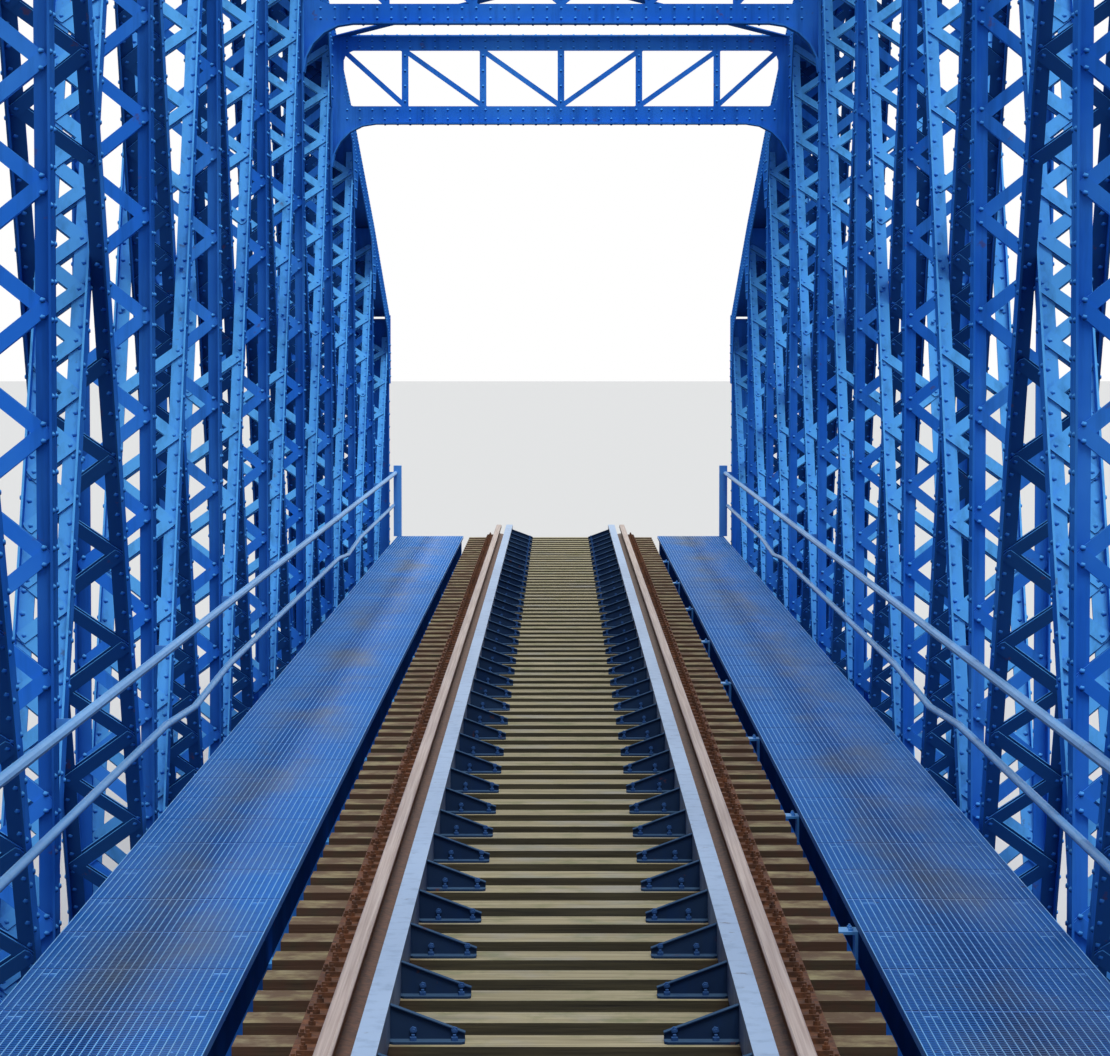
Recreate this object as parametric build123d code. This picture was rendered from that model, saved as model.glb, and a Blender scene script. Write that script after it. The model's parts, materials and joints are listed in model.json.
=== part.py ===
from build123d import *
import math
import os

# One span of a riveted through-truss railway bridge, in millimetres.
# +Y runs along the track, +X to the right, +Z up. The bearings stand on Z 0.

# Span
bay_count = 13
bay_length = 4300
chord_overhang = 300

# Levels, from the ground up
bearing_height = 350
floor_beam_clearance = 320
floor_beam_depth = 950
sleeper_depth = 240
rail_height = 160

# Trusses
truss_inner = 2400
truss_width = 490
wall_plate = 12
cover_plate = 20
bottom_chord_depth = 400
top_chord_depth = 360
crown_rise = 7780
crown_drop = 4820
arch_power = 1.6
gusset_reach = 600
gusset_root = 650
gusset_tip = 250

# Posts and diagonals
post_flange_width = 180
post_stem_width = 74
post_stem_thickness = 24
post_end_clearance = 30
end_post_flange_width = 260
batten_depth = 420
batten_thickness = 12
diagonal_flat_width = 160
diagonal_stem_width = 78
diagonal_stem_thickness = 16
diagonal_end_clearance = 10
diagonal_packing_length = 120

# Overhead struts and the bracing between them
strut_drop = 200
portal_depth = 930
sway_depth = 1000
strut_web = 16
strut_flange_width = 180
strut_flange_thickness = 16
strut_top_band = 160
strut_bottom_band = 190
strut_end_band = 115
strut_post_spacing = 820
strut_post_width = 70
strut_diagonal_width = 52
strut_corner_radius = 100
knee_radius = 450
arc_steps = 5
corner_steps = 2
top_lateral_width = 110
top_lateral_thickness = 12
top_lateral_reach = 2290

# Floor steelwork
girder_web = 12
girder_flange_thickness = 20
floor_beam_flange_width = 200
stringer_depth = 500
stringer_flange_width = 180
bottom_lateral_width = 120
bottom_lateral_thickness = 12
bottom_lateral_reach = 2300
assembly_gap = 2

# Track
gauge = 1668
rail_head_width = 70
rail_head_depth = 40
rail_head_bevel = 8
rail_web = 16
rail_foot_width = 136
rail_foot_edge = 26
rail_foot_rise = 12
sleeper_length = 2560
sleeper_width = 240
sleeper_spacing = 500

# Guard rails inside the running rails
guard_inner_face = 675
guard_width = 90
guard_thickness = 10
bracket_toe = 385
bracket_toe_height = 30
bracket_top_clearance = 22
bracket_thickness = 14
bracket_sleeper_count = 2

# Walkways
walkway_sleeper_gap = 95
walkway_outer_edge = 2310
grating_depth = 40
bearer_width = 75
bearer_web = 10
bearer_flange = 14
bearer_inset = 25

# Handrails
handrail_line = 2330
handrail_height = 895
handrail_radius = 28
lower_rail_height = 435
lower_rail_radius = 22
tube_sides = 10
lug_height = 46
lug_thickness = 14
newel_size = 110
newel_height = 1000
newel_wall = 10

# Bearings
bed_length = 560
bed_width = 520
bed_thickness = 40
saddle_length = 440
saddle_width = 420
saddle_plate = 30
rocker_foot_length = 400
rocker_neck_length = 130
rocker_width = 380
pin_radius = 50
pin_length = 430
pin_level = 195
pin_sides = 12
roller_radius = 55
roller_count = 3
roller_spacing = 135
roller_length = 400
roller_plate_thickness = 40

# Levels and lines that follow from the sizes above
floor_beam_base = bearing_height + floor_beam_clearance
deck_level = floor_beam_base + floor_beam_depth
sleeper_top = deck_level + sleeper_depth
rail_top = sleeper_top + rail_height
truss_outer = truss_inner + truss_width
truss_centre = truss_inner + truss_width / 2
web_face = truss_inner + wall_plate
member_face = web_face + wall_plate
post_stem_tip = member_face + post_stem_width
diagonal_stem_tip = member_face + diagonal_stem_width
counter_back = diagonal_stem_tip + assembly_gap
counter_face = counter_back + wall_plate
counter_stem_tip = counter_face + diagonal_stem_width
bottom_chord_web_base = bearing_height + cover_plate
bottom_chord_top = bearing_height + bottom_chord_depth
half_span = bay_count * bay_length / 2
half_length = half_span + chord_overhang
rail_centre = (gauge + rail_head_width) / 2
walkway_inner_edge = sleeper_length / 2 + walkway_sleeper_gap
panel_lines = [index * bay_length - half_span for index in range(bay_count + 1)]
first_strut = bay_count // 4
strut_panels = range(first_strut, bay_count - first_strut + 1)
sleeper_count = int(2 * half_span // sleeper_spacing) + 1
sleeper_lines = [(index - (sleeper_count - 1) / 2) * sleeper_spacing for index in range(sleeper_count)]


def chord_top(index):
    """Height of the top chord's upper face at a panel point."""
    from_crown = abs(2 * index / bay_count - 1)
    return rail_top + crown_rise - crown_drop * from_crown ** arch_power


def chord_underside(index):
    return chord_top(index) - top_chord_depth


def opposite_wall(x):
    """The matching place in the truss's outer wall."""
    return truss_inner + truss_outer - x


def block(x_range, y_range, z_range):
    size = [max(pair) - min(pair) for pair in (x_range, y_range, z_range)]
    centre = [sum(pair) / 2 for pair in (x_range, y_range, z_range)]
    return Pos(*centre) * Box(*size)


def prism(corners, travel):
    """Solid swept from a flat outline of corners by a straight travel."""
    face = Face(Wire.make_polygon(corners, close=True))
    return Solid.extrude(face, Vector(*travel))


def side_plate(outline, x_low, x_high):
    """Plate in the plane of a truss: (y, z) outline, thick along X."""
    return prism([(x_low, y, z) for y, z in outline], (x_high - x_low, 0, 0))


def cross_plate(outline, y_low, y_high):
    """Plate square across the track: (x, z) outline, thick along Y."""
    return prism([(x, y_low, z) for x, z in outline], (0, y_high - y_low, 0))


def level_plate(outline, z_low, z_high):
    """Level plate: (x, y) outline, thick along Z."""
    return prism([(x, y, z_low) for x, y in outline], (0, 0, z_high - z_low))


def joined(solids):
    """Solids that overlap or share a face, made into one."""
    return solids[0].fuse(*solids[1:]).clean()


def mirrored(solids):
    return [mirror(solid, about=Plane.YZ) for solid in solids]


def save(name, solids):
    shape = solids[0] if len(solids) == 1 else Compound(children=list(solids))
    export_step(shape, f"parts/{name}.step")


def save_pair(name, right_solids):
    """A piece on the right of the track and its twin on the left."""
    save(f"right_{name}", right_solids)
    save(f"left_{name}", mirrored(right_solids))


def centred(position, width):
    return (position - width / 2, position + width / 2)


def arc(centre_a, centre_b, radius, start_degrees, end_degrees, steps=arc_steps):
    """Points along an arc, few enough for a plate cut in straight runs."""
    points = []
    for step in range(steps + 1):
        angle = math.radians(start_degrees + (end_degrees - start_degrees) * step / steps)
        points.append((centre_a + radius * math.cos(angle), centre_b + radius * math.sin(angle)))
    return points


def ring(centre_a, centre_b, radius, sides):
    """Outline of a round bar, as a polygon of equal sides."""
    return arc(centre_a, centre_b, radius, 0, 360 - 360 / sides, sides - 1)


# Chords

def height_along(y, heights):
    """Height at y on the straight runs between panel points."""
    position = (y + half_span) / bay_length
    index = min(max(int(position), 0), bay_count - 1)
    share = min(max(position - index, 0), 1)
    return heights[index] * (1 - share) + heights[index + 1] * share


def gusseted_edge(heights, reach):
    """Chord web edge that widens into a gusset at each panel point, with reach up or down."""
    points = []
    for index, line in enumerate(panel_lines):
        if index > 0:
            points.append((line - gusset_root, height_along(line - gusset_root, heights)))
            points.append((line - gusset_tip, heights[index] + reach))
        else:
            points.append((line - chord_overhang, heights[index] + reach))
        if index < bay_count:
            points.append((line + gusset_tip, heights[index] + reach))
            points.append((line + gusset_root, height_along(line + gusset_root, heights)))
        else:
            points.append((line + chord_overhang, heights[index] + reach))
    return points


def chord_line(offset):
    """The top chord's line, lowered by offset, from end to end."""
    points = [(line, chord_top(index) - offset) for index, line in enumerate(panel_lines)]
    first_end = (-half_length, chord_top(0) - offset)
    last_end = (half_length, chord_top(bay_count) - offset)
    return [first_end] + points + [last_end]


def top_chord():
    undersides = [chord_underside(index) for index in range(bay_count + 1)]
    web_outline = chord_line(cover_plate) + gusseted_edge(undersides, -gusset_reach)[::-1]
    cover_outline = chord_line(0) + chord_line(cover_plate)[::-1]
    return joined([
        side_plate(web_outline, truss_inner, web_face),
        side_plate(web_outline, opposite_wall(web_face), truss_outer),
        side_plate(cover_outline, truss_inner, truss_outer),
    ])


def bottom_chord():
    tops = [bottom_chord_top] * (bay_count + 1)
    base_corners = [(half_length, bottom_chord_web_base), (-half_length, bottom_chord_web_base)]
    web_outline = gusseted_edge(tops, gusset_reach) + base_corners
    return joined([
        side_plate(web_outline, truss_inner, web_face),
        side_plate(web_outline, opposite_wall(web_face), truss_outer),
        block((truss_inner, truss_outer), (-half_length, half_length), (bearing_height, bottom_chord_web_base)),
    ])


# Posts

def post(index, flange_width, plate_ranges):
    """Two T-bars inside the gussets, one to each wall, tied across by plates at the given heights."""
    line = panel_lines[index]
    low = bottom_chord_web_base + post_end_clearance
    high = chord_top(index) - cover_plate - post_end_clearance
    edge = flange_width / 2
    side = post_stem_thickness / 2
    half_tee = [(web_face, edge), (member_face, edge), (member_face, side), (post_stem_tip, side)]
    tee = [(x, line + y) for x, y in half_tee] + [(x, line - y) for x, y in half_tee[::-1]]
    solids = [level_plate(tee, low, high), level_plate([(opposite_wall(x), y) for x, y in tee], low, high)]
    between = (post_stem_tip, opposite_wall(post_stem_tip))
    for plate_range in plate_ranges(low, high):
        solids.append(block(between, centred(line, batten_thickness), plate_range))
    return joined(solids)


def batten_ranges(low, high):
    return [(low, low + batten_depth), (high - batten_depth, high)]


def full_height_range(low, high):
    return [(low, high)]


# Diagonals

def slanted_bar(start, end, width, x_range, y_cuts):
    """Bar along start to end in the truss plane, its ends cut upright at the two y values."""
    slope = (end[1] - start[1]) / (end[0] - start[0])
    half_height = width / 2 * math.sqrt(1 + slope ** 2)
    middles = [(y, start[1] + slope * (y - start[0])) for y in y_cuts]
    lower = [(y, z - half_height) for y, z in middles]
    upper = [(y, z + half_height) for y, z in middles[::-1]]
    return side_plate(lower + upper, *x_range)


def diagonal_pair(bay, wall):
    """One bay's diagonals in one wall. The one that falls towards mid-span is fixed on the gussets.
    The counter-diagonal passes behind its stem, on packings at both ends."""
    low_level = bearing_height + bottom_chord_depth / 2
    rise = {}
    for index in (bay, bay + 1):
        rise[index] = (chord_top(index) + chord_underside(index)) / 2
    end_flange = end_post_flange_width if bay in (0, bay_count - 1) else post_flange_width
    setback = end_flange / 2 + diagonal_end_clearance
    y_cuts = (panel_lines[bay] + setback, panel_lines[bay + 1] - setback)
    packing_cuts = (
        (y_cuts[0], y_cuts[0] + diagonal_packing_length),
        (y_cuts[1] - diagonal_packing_length, y_cuts[1]),
    )
    rising = ((panel_lines[bay], low_level), (panel_lines[bay + 1], rise[bay + 1]))
    falling = ((panel_lines[bay], rise[bay]), (panel_lines[bay + 1], low_level))
    before_middle = 2 * bay + 1 < bay_count
    main, counter = (falling, rising) if before_middle else (rising, falling)

    def plate(line, width, x_low, x_high, cuts):
        return slanted_bar(*line, width, sorted((wall(x_low), wall(x_high))), cuts)

    main_bar = joined([
        plate(main, diagonal_flat_width, web_face, member_face, y_cuts),
        plate(main, diagonal_stem_thickness, member_face, diagonal_stem_tip, y_cuts),
    ])
    counter_bar = joined([
        plate(counter, diagonal_flat_width, counter_back, counter_face, y_cuts),
        plate(counter, diagonal_stem_thickness, counter_face, counter_stem_tip, y_cuts),
        plate(counter, diagonal_flat_width, web_face, counter_back, packing_cuts[0]),
        plate(counter, diagonal_flat_width, web_face, counter_back, packing_cuts[1]),
    ])
    return [main_bar, counter_bar]


def all_diagonals(wall):
    return [bar for bay in range(bay_count) for bar in diagonal_pair(bay, wall)]


# Overhead struts

def strut(index, depth):
    """Lattice strut across the track with curved knees down to the posts."""
    line = panel_lines[index]
    top = chord_top(index) - strut_drop
    base = top - depth
    arc_centre = truss_inner - knee_radius
    knee_low = base - knee_radius
    right_knee = arc(arc_centre, knee_low, knee_radius, 90, 0)
    left_knee = [(-x, z) for x, z in right_knee[::-1]]
    underside = left_knee + right_knee
    corners = [(truss_inner, top - strut_flange_thickness), (-truss_inner, top - strut_flange_thickness)]
    web = cross_plate(underside + corners, *centred(line, strut_web))

    opening_low = base + strut_bottom_band
    opening_high = top - strut_top_band
    opening_half = truss_inner - strut_end_band
    radius = strut_corner_radius
    opening = []
    for side, level, first_angle in (
        (1, opening_high, 0), (-1, opening_high, 90), (-1, opening_low, 180), (1, opening_low, 270)
    ):
        inward = -radius if level == opening_high else radius
        centre_x = side * (opening_half - radius)
        opening += arc(centre_x, level + inward, radius, first_angle, first_angle + 90, corner_steps)
    web = web.cut(cross_plate(opening, *centred(line, strut_web + strut_flange_thickness)))

    solids = [web]
    post_count = int(opening_half // strut_post_spacing)
    post_lines = [step * strut_post_spacing for step in range(-post_count, post_count + 1)]
    for x in post_lines:
        post_box = (centred(x, strut_post_width), centred(line, strut_web), (opening_low, opening_high))
        solids.append(block(*post_box))
    stations = [-opening_half] + post_lines + [opening_half]
    for left, right in zip(stations, stations[1:]):
        falls = left + right < 0
        start = (left, opening_high if falls else opening_low)
        end = (right, opening_low if falls else opening_high)
        run = math.hypot(end[0] - start[0], end[1] - start[1])
        half_run = strut_diagonal_width / 2 * run / abs(end[1] - start[1])
        ends = (start, end)
        low_side = [(x - half_run, z) for x, z in ends]
        high_side = [(x + half_run, z) for x, z in ends[::-1]]
        outline = [(min(max(x, -truss_inner), truss_inner), z) for x, z in low_side + high_side]
        solids.append(cross_plate(outline, *centred(line, strut_web)))

    flange_y = centred(line, strut_flange_width)
    full_width = (-truss_inner, truss_inner)
    solids.append(block(full_width, flange_y, (top - strut_flange_thickness, top)))
    outer_radius = knee_radius + strut_flange_thickness
    wall_angle = math.degrees(math.acos(knee_radius / outer_radius))
    outer_knee = arc(arc_centre, knee_low, outer_radius, 90, wall_angle)
    flange_back = outer_knee[::-1] + [(-x, z) for x, z in outer_knee]
    solids.append(cross_plate(underside + flange_back, *flange_y))

    gusset_low = chord_underside(index) - gusset_reach
    if knee_low < gusset_low:
        for post_side in (-1, 1):
            packing_x = (post_side * truss_inner, post_side * web_face)
            solids.append(block(packing_x, flange_y, (knee_low, gusset_low)))
    return joined(solids)


def top_lateral(index):
    """Crossed flats between the tops of two neighbouring struts."""
    mid_flange = strut_flange_thickness / 2 + top_lateral_thickness / 2
    y_ends = (panel_lines[index] + strut_flange_width / 2, panel_lines[index + 1] - strut_flange_width / 2)
    z_ends = [chord_top(step) - strut_drop - mid_flange for step in (index, index + 1)]
    bars = []
    for side in (-1, 1):
        x_ends = (-side * top_lateral_reach, side * top_lateral_reach)
        slope = (x_ends[1] - x_ends[0]) / (y_ends[1] - y_ends[0])
        half_run = top_lateral_width / 2 * math.sqrt(1 + slope ** 2)
        corners = []
        for x, y, z in zip(x_ends, y_ends, z_ends):
            corners.append([(x - half_run, y, z), (x + half_run, y, z)])
        outline = corners[0] + corners[1][::-1]
        bars.append(prism(outline, (0, 0, top_lateral_thickness)))
    return joined(bars)


# Floor steelwork

def girder_outline(centre, width, low, high, web=girder_web, flange=girder_flange_thickness):
    """I-section outline: across, then up."""
    half = width / 2
    side = web / 2
    right = [(half, low), (half, low + flange), (side, low + flange)]
    right += [(side, high - flange), (half, high - flange), (half, high)]
    left = [(-x, z) for x, z in right[::-1]]
    return [(centre + x, z) for x, z in right + left]


def floor_beam(line):
    outline = girder_outline(line, floor_beam_flange_width, floor_beam_base, deck_level)
    return side_plate(outline, -truss_inner, truss_inner)


def stringer(bay):
    """Stringer with its web run in to the floor beams and its flanges cut back from theirs."""
    low = deck_level - stringer_depth
    web_ends = (panel_lines[bay] + girder_web / 2, panel_lines[bay + 1] - girder_web / 2)
    clearance = floor_beam_flange_width / 2
    flange_ends = (panel_lines[bay] + clearance, panel_lines[bay + 1] - clearance)
    web_levels = (low + girder_flange_thickness, deck_level - girder_flange_thickness)
    flange_x = centred(rail_centre, stringer_flange_width)
    return joined([
        block(centred(rail_centre, girder_web), web_ends, web_levels),
        block(flange_x, flange_ends, (low, web_levels[0])),
        block(flange_x, flange_ends, (web_levels[1], deck_level)),
    ])


def bottom_lateral(bay):
    """Crossed flats in one bay, bolted up to the undersides of the floor beams."""
    y_ends = (panel_lines[bay] + assembly_gap, panel_lines[bay + 1] - assembly_gap)
    bars = []
    for side in (-1, 1):
        x_ends = (-side * bottom_lateral_reach, side * bottom_lateral_reach)
        slope = (x_ends[1] - x_ends[0]) / (y_ends[1] - y_ends[0])
        half_run = bottom_lateral_width / 2 * math.sqrt(1 + slope ** 2)
        corners = [[(x - half_run, y), (x + half_run, y)] for x, y in zip(x_ends, y_ends)]
        outline = corners[0] + corners[1][::-1]
        bars.append(level_plate(outline, floor_beam_base - bottom_lateral_thickness, floor_beam_base))
    return joined(bars)


# Track

def running_rail():
    foot = rail_foot_width / 2
    web = rail_web / 2
    head = rail_head_width / 2
    head_low = rail_top - rail_head_depth
    right = [
        (foot, sleeper_top),
        (foot, sleeper_top + rail_foot_edge),
        (web, sleeper_top + rail_foot_edge + rail_foot_rise),
        (web, head_low - rail_head_bevel),
        (head, head_low),
        (head, rail_top - rail_head_bevel),
        (head - rail_head_bevel, rail_top),
    ]
    left = [(-x, z) for x, z in right[::-1]]
    return cross_plate([(rail_centre + x, z) for x, z in right + left], -half_length, half_length)


def guard_rail():
    """Angle bar: a level leg flush with the rail's top and an upright leg down to the sleepers."""
    outer = guard_inner_face + guard_width
    leg = guard_inner_face + guard_thickness
    under = rail_top - guard_thickness
    outline = [(guard_inner_face, sleeper_top), (leg, sleeper_top), (leg, under), (outer, under)]
    outline += [(outer, rail_top), (guard_inner_face, rail_top)]
    return cross_plate(outline, -half_length, half_length)


def guard_bracket(line):
    """Gusset plate that props the guard rail off a sleeper."""
    outline = [
        (bracket_toe, sleeper_top),
        (guard_inner_face, sleeper_top),
        (guard_inner_face, rail_top - bracket_top_clearance),
        (bracket_toe, sleeper_top + bracket_toe_height),
    ]
    return cross_plate(outline, *centred(line, bracket_thickness))


# Walkways

def grating(bay):
    ends = [panel_lines[bay] + assembly_gap, panel_lines[bay + 1] - assembly_gap]
    if bay == 0:
        ends[0] = -half_length
    if bay == bay_count - 1:
        ends[1] = half_length
    return block((walkway_inner_edge, walkway_outer_edge), ends, (sleeper_top - grating_depth, sleeper_top))


def walkway_bearer(back, toe):
    """Channel along the walkway, standing on the floor beams, its back at one x and toes at the other."""
    low = deck_level
    high = sleeper_top - grating_depth
    web = back + math.copysign(bearer_web, toe - back)
    outline = [(back, low), (toe, low), (toe, low + bearer_flange), (web, low + bearer_flange)]
    outline += [(web, high - bearer_flange), (toe, high - bearer_flange), (toe, high), (back, high)]
    return cross_plate(outline, -half_length, half_length)


# Handrails

def handrail(height, radius):
    """Tube along the walkway with a lug to each post of the truss."""
    level = sleeper_top + height
    reach = half_length - newel_size
    solids = [cross_plate(ring(handrail_line, level, radius, tube_sides), -reach, reach)]
    for line in panel_lines:
        lug_y = centred(line, lug_thickness)
        solids.append(block((handrail_line, web_face), lug_y, centred(level, lug_height)))
    return joined(solids)


def newel(line):
    """Box post at a walkway's end that takes both rails."""
    x_range = centred(handrail_line - newel_size / 2 + handrail_radius, newel_size)
    y_range = centred(line, newel_size)
    z_range = (sleeper_top, sleeper_top + newel_height)
    outer = block(x_range, y_range, z_range)
    inner = block(
        (x_range[0] + newel_wall, x_range[1] - newel_wall),
        (y_range[0] + newel_wall, y_range[1] - newel_wall),
        (z_range[0], z_range[1] - newel_wall),
    )
    return outer - inner


# Bearings

def tapered(line, foot_length, head_length, low, high, width):
    outline = [(line - foot_length / 2, low), (line + foot_length / 2, low)]
    outline += [(line + head_length / 2, high), (line - head_length / 2, high)]
    return side_plate(outline, *centred(truss_centre, width))


def saddle(line, low):
    """Upper half of a bearing: a plate under the chord on a tapered block."""
    plate_low = bearing_height - saddle_plate
    plate = (centred(truss_centre, saddle_width), centred(line, saddle_length), (plate_low, bearing_height))
    return [tapered(line, rocker_neck_length, rocker_foot_length, low, plate_low, rocker_width), block(*plate)]


def fixed_bearing(line):
    """Bed, lower rocker, pin and saddle."""
    bed = (centred(truss_centre, bed_width), centred(line, bed_length), (0, bed_thickness))
    lower = tapered(line, rocker_foot_length, rocker_neck_length, bed_thickness, pin_level, rocker_width)
    pin = side_plate(ring(line, pin_level, pin_radius, pin_sides), *centred(truss_centre, pin_length))
    return joined([block(*bed), lower, pin] + saddle(line, pin_level))


def roller_bed(line):
    return block(centred(truss_centre, bed_width), centred(line, bed_length), (0, bed_thickness))


def rollers(line):
    level = bed_thickness + roller_radius
    solids = []
    for step in range(roller_count):
        y = line + (step - (roller_count - 1) / 2) * roller_spacing
        solids.append(side_plate(ring(y, level, roller_radius, pin_sides), *centred(truss_centre, roller_length)))
    return solids


def roller_saddle(line):
    plate_low = bed_thickness + 2 * roller_radius
    plate_high = plate_low + roller_plate_thickness
    plate = (centred(truss_centre, saddle_width), centred(line, saddle_length), (plate_low, plate_high))
    return joined([block(*plate)] + saddle(line, plate_high))


os.makedirs("parts", exist_ok=True)

save_pair("top_chord", [top_chord()])
save_pair("bottom_chord", [bottom_chord()])
save_pair("posts", [post(index, post_flange_width, batten_ranges) for index in range(1, bay_count)])
save_pair("end_posts", [post(index, end_post_flange_width, full_height_range) for index in (0, bay_count)])
save_pair("inner_diagonals", all_diagonals(abs))
save_pair("outer_diagonals", all_diagonals(opposite_wall))

save("near_portal_strut", [strut(strut_panels[0], portal_depth)])
save("far_portal_strut", [strut(strut_panels[-1], portal_depth)])
save("sway_struts", [strut(index, sway_depth) for index in strut_panels[1:-1]])
save("top_laterals", [top_lateral(index) for index in strut_panels[:-1]])

save("floor_beams", [floor_beam(line) for line in panel_lines])
save_pair("stringers", [stringer(bay) for bay in range(bay_count)])
save("bottom_laterals", [bottom_lateral(bay) for bay in range(bay_count)])

half_sleeper = sleeper_length / 2
sleeper_levels = (deck_level, sleeper_top)
sleepers = [
    block((-half_sleeper, half_sleeper), centred(line, sleeper_width), sleeper_levels) for line in sleeper_lines
]
save("sleepers", sleepers)
save_pair("running_rail", [running_rail()])
save_pair("guard_rail", [guard_rail()])
save_pair("guard_brackets", [guard_bracket(line) for line in sleeper_lines[::bracket_sleeper_count]])

save_pair("walkway", [grating(bay) for bay in range(bay_count)])
inner_back = walkway_inner_edge + bearer_inset
outer_back = walkway_outer_edge - bearer_inset
save_pair("walkway_bearers", [
    walkway_bearer(inner_back, inner_back + bearer_width),
    walkway_bearer(outer_back, outer_back - bearer_width),
])
save_pair("top_handrail", [handrail(handrail_height, handrail_radius)])
save_pair("lower_handrail", [handrail(lower_rail_height, lower_rail_radius)])
newel_line = half_length - newel_size / 2
newels = [newel(line) for line in (-newel_line, newel_line)]
save("newels", newels + mirrored(newels))

near_line = panel_lines[0]
far_line = panel_lines[-1]
save("fixed_bearings", [fixed_bearing(near_line)] + mirrored([fixed_bearing(near_line)]))
save("roller_beds", [roller_bed(far_line)] + mirrored([roller_bed(far_line)]))
save("rollers", rollers(far_line) + mirrored(rollers(far_line)))
save("roller_saddles", [roller_saddle(far_line)] + mirrored([roller_saddle(far_line)]))
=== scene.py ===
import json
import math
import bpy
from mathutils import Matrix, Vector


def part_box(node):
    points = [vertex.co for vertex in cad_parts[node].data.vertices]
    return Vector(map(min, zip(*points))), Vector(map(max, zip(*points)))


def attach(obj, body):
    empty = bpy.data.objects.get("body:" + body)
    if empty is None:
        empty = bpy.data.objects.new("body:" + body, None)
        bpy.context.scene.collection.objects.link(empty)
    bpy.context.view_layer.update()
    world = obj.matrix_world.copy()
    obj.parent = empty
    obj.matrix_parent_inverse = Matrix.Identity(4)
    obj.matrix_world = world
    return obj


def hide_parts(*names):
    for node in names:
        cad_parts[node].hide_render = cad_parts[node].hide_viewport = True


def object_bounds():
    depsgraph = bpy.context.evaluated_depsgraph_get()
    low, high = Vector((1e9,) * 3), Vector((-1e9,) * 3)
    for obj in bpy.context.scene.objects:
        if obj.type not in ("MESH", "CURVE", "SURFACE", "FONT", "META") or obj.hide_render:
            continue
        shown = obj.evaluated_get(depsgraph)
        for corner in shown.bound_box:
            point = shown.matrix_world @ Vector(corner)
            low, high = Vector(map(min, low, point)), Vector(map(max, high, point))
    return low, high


bl_info = {
    "name": "Railway truss bridge span",
    "version": (1, 0, 0),
    "blender": (4, 5, 0),
    "location": "3D View > Sidebar > Bridge",
    "description": "Dresses the span with lacing, rivets, gratings, track fittings and weathered finishes",
    "category": "Object",
}

import bpy
import numpy as np
from mathutils import Matrix, Vector

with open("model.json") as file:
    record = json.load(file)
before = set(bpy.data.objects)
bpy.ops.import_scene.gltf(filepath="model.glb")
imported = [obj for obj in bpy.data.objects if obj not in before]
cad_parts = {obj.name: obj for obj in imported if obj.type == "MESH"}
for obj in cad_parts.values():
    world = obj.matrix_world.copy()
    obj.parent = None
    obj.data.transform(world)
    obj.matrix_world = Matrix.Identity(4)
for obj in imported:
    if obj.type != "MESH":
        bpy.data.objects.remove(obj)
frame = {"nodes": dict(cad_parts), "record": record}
CAD_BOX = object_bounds()

# Sizes shared with the solids, in metres.
BAYS = 13
BAY = 4.3
HALF_SPAN = BAYS * BAY / 2
RAIL_TOP = 2.02
SLEEPER_TOP = 1.86
DECK = 1.62
CHORD_BASE = 0.35
CHORD_TOP = 0.75
CHORD_DEPTH = 0.36
COVER = 0.02
WALL = 0.012
INNER = 2.4
OUTER = 2.89
HALF_LENGTH = HALF_SPAN + 0.3
POST_STEM_HALF = 0.012
POST_STEM = 0.061
DIAGONAL_STEM_HALF = 0.008
MAIN_STEM = 0.063
COUNTER_STEM = 0.155
COUNTER_BACK = 0.104
POST_FLANGE_HALF = 0.09
END_FLANGE_HALF = 0.13
GUSSET_REACH = 0.6
STRUT_PANELS = range(3, 11)
PORTAL_DEPTH = 0.93
SWAY_DEPTH = 1.0
STRUT_DROP = 0.2
RAIL_LINE = 0.869
WALKWAY_MIDDLE = 1.82
SLEEPER_PITCH = 0.5
PANELS = [index * BAY - HALF_SPAN for index in range(BAYS + 1)]
SLEEPERS = [(index - 55.5) * SLEEPER_PITCH for index in range(112)]
SIDES = (("left", -1), ("right", 1))

# Lacing: height of the posts' lowest knot, half the gap where a counter-diagonal passes through, and
# how far a bar runs on past its knots, in widths of the bar.
LOWEST_KNOT = 0.622
OPEN_LENGTH = 0.5
BAR_LAP = 0.8

# Rivets at the lacing: how far they stand off the stem, in thicknesses of the bar, and their spacing.
RIVET_LIFT = 1.7
KNOT_GAP = 0.08

# Dips of the lower handrails: the bays they are in, and their start, lowest point and end in a bay.
DIPPED_BAYS = (2, 6, 10)
DIP_SHARES = (0.02, 0.42, 0.98)

UP = (0, 0, 1)
ACROSS = (1, 0, 0)


def chord_level(index):
    """Height of the top chord's upper face at a panel point."""
    return RAIL_TOP + 7.78 - 4.82 * abs(2 * index / BAYS - 1) ** 1.6


# Modelling helpers


def clear_selection():
    if bpy.context.object and bpy.context.object.mode != "OBJECT":
        bpy.ops.object.mode_set(mode="OBJECT")
    bpy.ops.object.select_all(action="DESELECT")


def apply_size(piece, size):
    piece.scale = size
    bpy.ops.object.transform_apply(location=True, rotation=True, scale=True)


def pick(piece, kind, test):
    """Enter edit mode with the faces or edges chosen by the place of their middle and their direction."""
    bpy.ops.object.mode_set(mode="EDIT")
    bpy.ops.mesh.select_mode(type=kind)
    bpy.ops.mesh.select_all(action="DESELECT")
    bpy.ops.object.mode_set(mode="OBJECT")
    mesh = piece.data
    if kind == "FACE":
        for face in mesh.polygons:
            face.select = test(face.center, face.normal)
    else:
        for edge in mesh.edges:
            first, second = (mesh.vertices[corner].co for corner in edge.vertices)
            edge.select = test((first + second) / 2, (second - first).normalized())
    bpy.ops.object.mode_set(mode="EDIT")


def finish_edit():
    bpy.ops.object.mode_set(mode="OBJECT")


def start_block(size):
    clear_selection()
    bpy.ops.mesh.primitive_cube_add(size=1)
    piece = bpy.context.object
    apply_size(piece, size)
    return piece


def start_round(radius, depth, sides):
    clear_selection()
    bpy.ops.mesh.primitive_cylinder_add(vertices=sides, radius=radius, depth=depth)
    return bpy.context.object


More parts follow.
